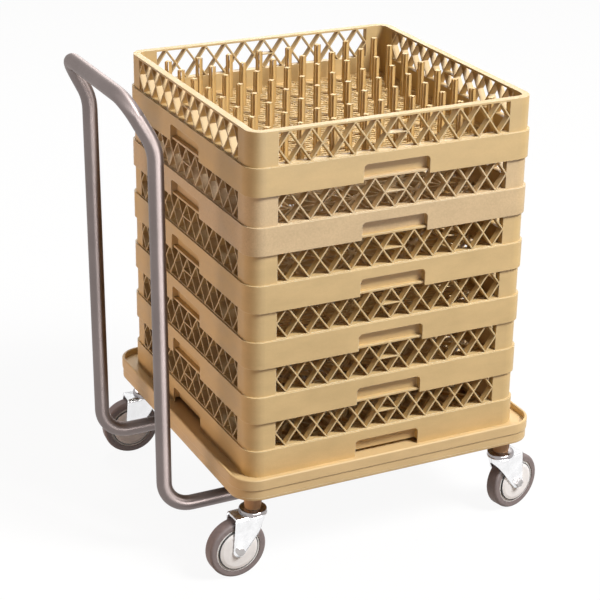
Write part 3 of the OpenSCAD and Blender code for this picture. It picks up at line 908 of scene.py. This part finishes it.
class DressRacks(bpy.types.Operator):
    """Tan polypropylene on the six racks and on the pegs of the top one"""

    bl_idname = "dolly.dress_racks"
    bl_label = "Dress racks"

    def execute(self, context):
        finish, sizes = context.scene.dolly_finish, context.scene.dolly_sizes
        plain = moulded_polyolefin("Tan moulded polypropylene", finish.rack)
        rosy = moulded_polyolefin(
            "Rosy moulded polypropylene", finish.rosy_rack,
            grain_mm=2.2, grain=0.7, stipple=(0.78, 0.76, 0.74),
        )
        dress([name for name in RACKS if name != ROSY_RACK], plain)
        dress([ROSY_RACK], rosy)
        dress(["pegs"], moulded_polyolefin("Peg polypropylene", finish.peg))
        swell(NODES["pegs"], sizes.peg_swell)
        soften(NODES["pegs"], sizes.peg_edge)
        return {"FINISHED"}


class DressDeck(bpy.types.Operator):
    """Tan plastic on the deck and on the blocks under it, and black sleeves in its sockets"""

    bl_idname = "dolly.dress_deck"
    bl_label = "Dress deck"

    def execute(self, context):
        finish = context.scene.dolly_finish
        dress(["deck", "saddle_blocks"], moulded_polyolefin("Deck polyethylene", finish.deck))
        dress(["socket_sleeves"], moulded_nylon("Black socket nylon", finish.black))
        return {"FINISHED"}


class DressHandle(bpy.types.Operator):
    """Brushed tube, black end plugs, and zinc plated straps and screws"""

    bl_idname = "dolly.dress_handle"
    bl_label = "Dress handle"

    def execute(self, context):
        finish = context.scene.dolly_finish
        dress(["handle_tube"], brushed_steel("Brushed stainless tube", finish.steel))
        dress(["handle_plugs"], moulded_nylon("Black plug nylon", finish.black))
        dress(["tube_straps", "strap_screws"], zinc_plate("Zinc plated strap", finish.zinc, rough=0.3))
        return {"FINISHED"}


class DressCasters(bpy.types.Operator):
    """Zinc plate, rubber and nylon on the four casters"""

    bl_idname = "dolly.dress_casters"
    bl_label = "Dress casters"

    def execute(self, context):
        finish = context.scene.dolly_finish
        dress(at_casters("fork"), zinc_plate("Bright zinc plate", finish.zinc))
        bolts = at_casters("axle") + at_casters("nut")
        dress(bolts, zinc_plate("Dull zinc plate", finish.bolt_zinc, rough=0.32))
        # Painted shade and reflection: the cups get a darker copy of the bright zinc
        dress(at_casters("stem"), zinc_plate("Shaded cup zinc plate", finish.shaded_cup_zinc, rough=0.16))
        dress(at_casters("bearing"), zinc_plate("Polished bearing steel", finish.zinc, rough=0.1))
        dress(at_casters("bush"), sintered_bronze("Sintered bronze", finish.bronze))
        dress(at_casters("guards"), moulded_nylon("Pale guard nylon", finish.guard))
        dress(at_casters("core"), moulded_nylon("White wheel nylon", finish.core))
        dress(at_casters("tyre"), tread_rubber("Grey tread rubber", finish.tread))
        return {"FINISHED"}


class MakeFloors(bpy.types.Operator):
    """Diagonal ribs in the floors of the racks, and fine meshes in the third and the sixth"""

    bl_idname = "dolly.make_floors"
    bl_label = "Make floors"

    def execute(self, context):
        for name in RACKS:
            rosy = name == ROSY_RACK
            material = finish_of(ROSY_RACK if rosy else "pegs")
            rack_floor(name, name in FINE_RACKS, material, context.scene.dolly_sizes)
        return {"FINISHED"}


class MakeBand(bpy.types.Operator):
    """The lower edge of the deck's band"""

    bl_idname = "dolly.make_band"
    bl_label = "Make band"

    def execute(self, context):
        deck_band(finish_of("deck"))
        return {"FINISHED"}


class MakeForks(bpy.types.Operator):
    """Low pressed forks, swivel cups and tapered bosses of the casters"""

    bl_idname = "dolly.make_forks"
    bl_label = "Make forks"

    def execute(self, context):
        # Painted shade: a darker copy of the deck's tan, for the shadow under the deck
        tan = moulded_polyolefin("Shaded boss polyethylene", context.scene.dolly_finish.boss)
        for place in CASTERS:
            fork_pieces(place, context.scene.dolly_sizes)
            cup_and_boss(place, tan)
        return {"FINISHED"}


class MakeShadowRings(bpy.types.Operator):
    """Black rings between the wheels and their thread guards, painted shadow in the gaps"""

    bl_idname = "dolly.make_seals"
    bl_label = "Make shadow rings"

    def execute(self, context):
        # Painted shadow: black rings in the gaps between wheels and thread guards
        rubber = tread_rubber("Black shadow ring", context.scene.dolly_finish.shadow_ring)
        for place in CASTERS:
            wheel_shadow_ring(place, rubber)
        return {"FINISHED"}


class SetStage(bpy.types.Operator):
    """Pale floor, soft lamps and a camera at the photograph's angle"""

    bl_idname = "dolly.set_stage"
    bl_label = "Set stage"

    def execute(self, context):
        stage = context.scene.dolly_stage
        context.scene.view_settings.view_transform = "Standard"
        studio_floor()
        white_world(stage.sky)
        studio_lamps(stage)
        photo_camera(stage)
        return {"FINISHED"}


class DollyPanel(bpy.types.Panel):
    """Lists the finishes, the sizes and the stage of the dolly"""

    bl_idname = "VIEW3D_PT_dolly"
    bl_label = "Glass rack dolly"
    bl_space_type = "VIEW_3D"
    bl_region_type = "UI"
    bl_category = "Dolly"

    def draw(self, context):
        scene = context.scene
        for group in (scene.dolly_finish, scene.dolly_sizes, scene.dolly_stage):
            for name in group.bl_rna.properties.keys():
                if name not in {"rna_type", "name"}:
                    self.layout.prop(group, name)
        for operator in OPERATORS:
            self.layout.operator(operator.bl_idname)


OPERATORS = (
    DressRacks, DressDeck, DressHandle, DressCasters, MakeFloors, MakeBand, MakeForks, MakeShadowRings, SetStage,
)
CLASSES = (DollyFinish, DollySizes, DollyStage, *OPERATORS, DollyPanel)


def register():
    for cls in CLASSES:
        bpy.utils.register_class(cls)
    bpy.types.Scene.dolly_finish = bpy.props.PointerProperty(type=DollyFinish)
    bpy.types.Scene.dolly_sizes = bpy.props.PointerProperty(type=DollySizes)
    bpy.types.Scene.dolly_stage = bpy.props.PointerProperty(type=DollyStage)


def unregister():
    del bpy.types.Scene.dolly_stage
    del bpy.types.Scene.dolly_sizes
    del bpy.types.Scene.dolly_finish
    for cls in reversed(CLASSES):
        bpy.utils.unregister_class(cls)


def main():
    register()
    bpy.ops.dolly.dress_racks()
    bpy.ops.dolly.dress_deck()
    bpy.ops.dolly.dress_handle()
    bpy.ops.dolly.dress_casters()
    bpy.ops.dolly.make_floors()
    bpy.ops.dolly.make_band()
    bpy.ops.dolly.make_forks()
    bpy.ops.dolly.make_seals()
    bpy.ops.dolly.set_stage()


if __name__ == "__main__":
    main()
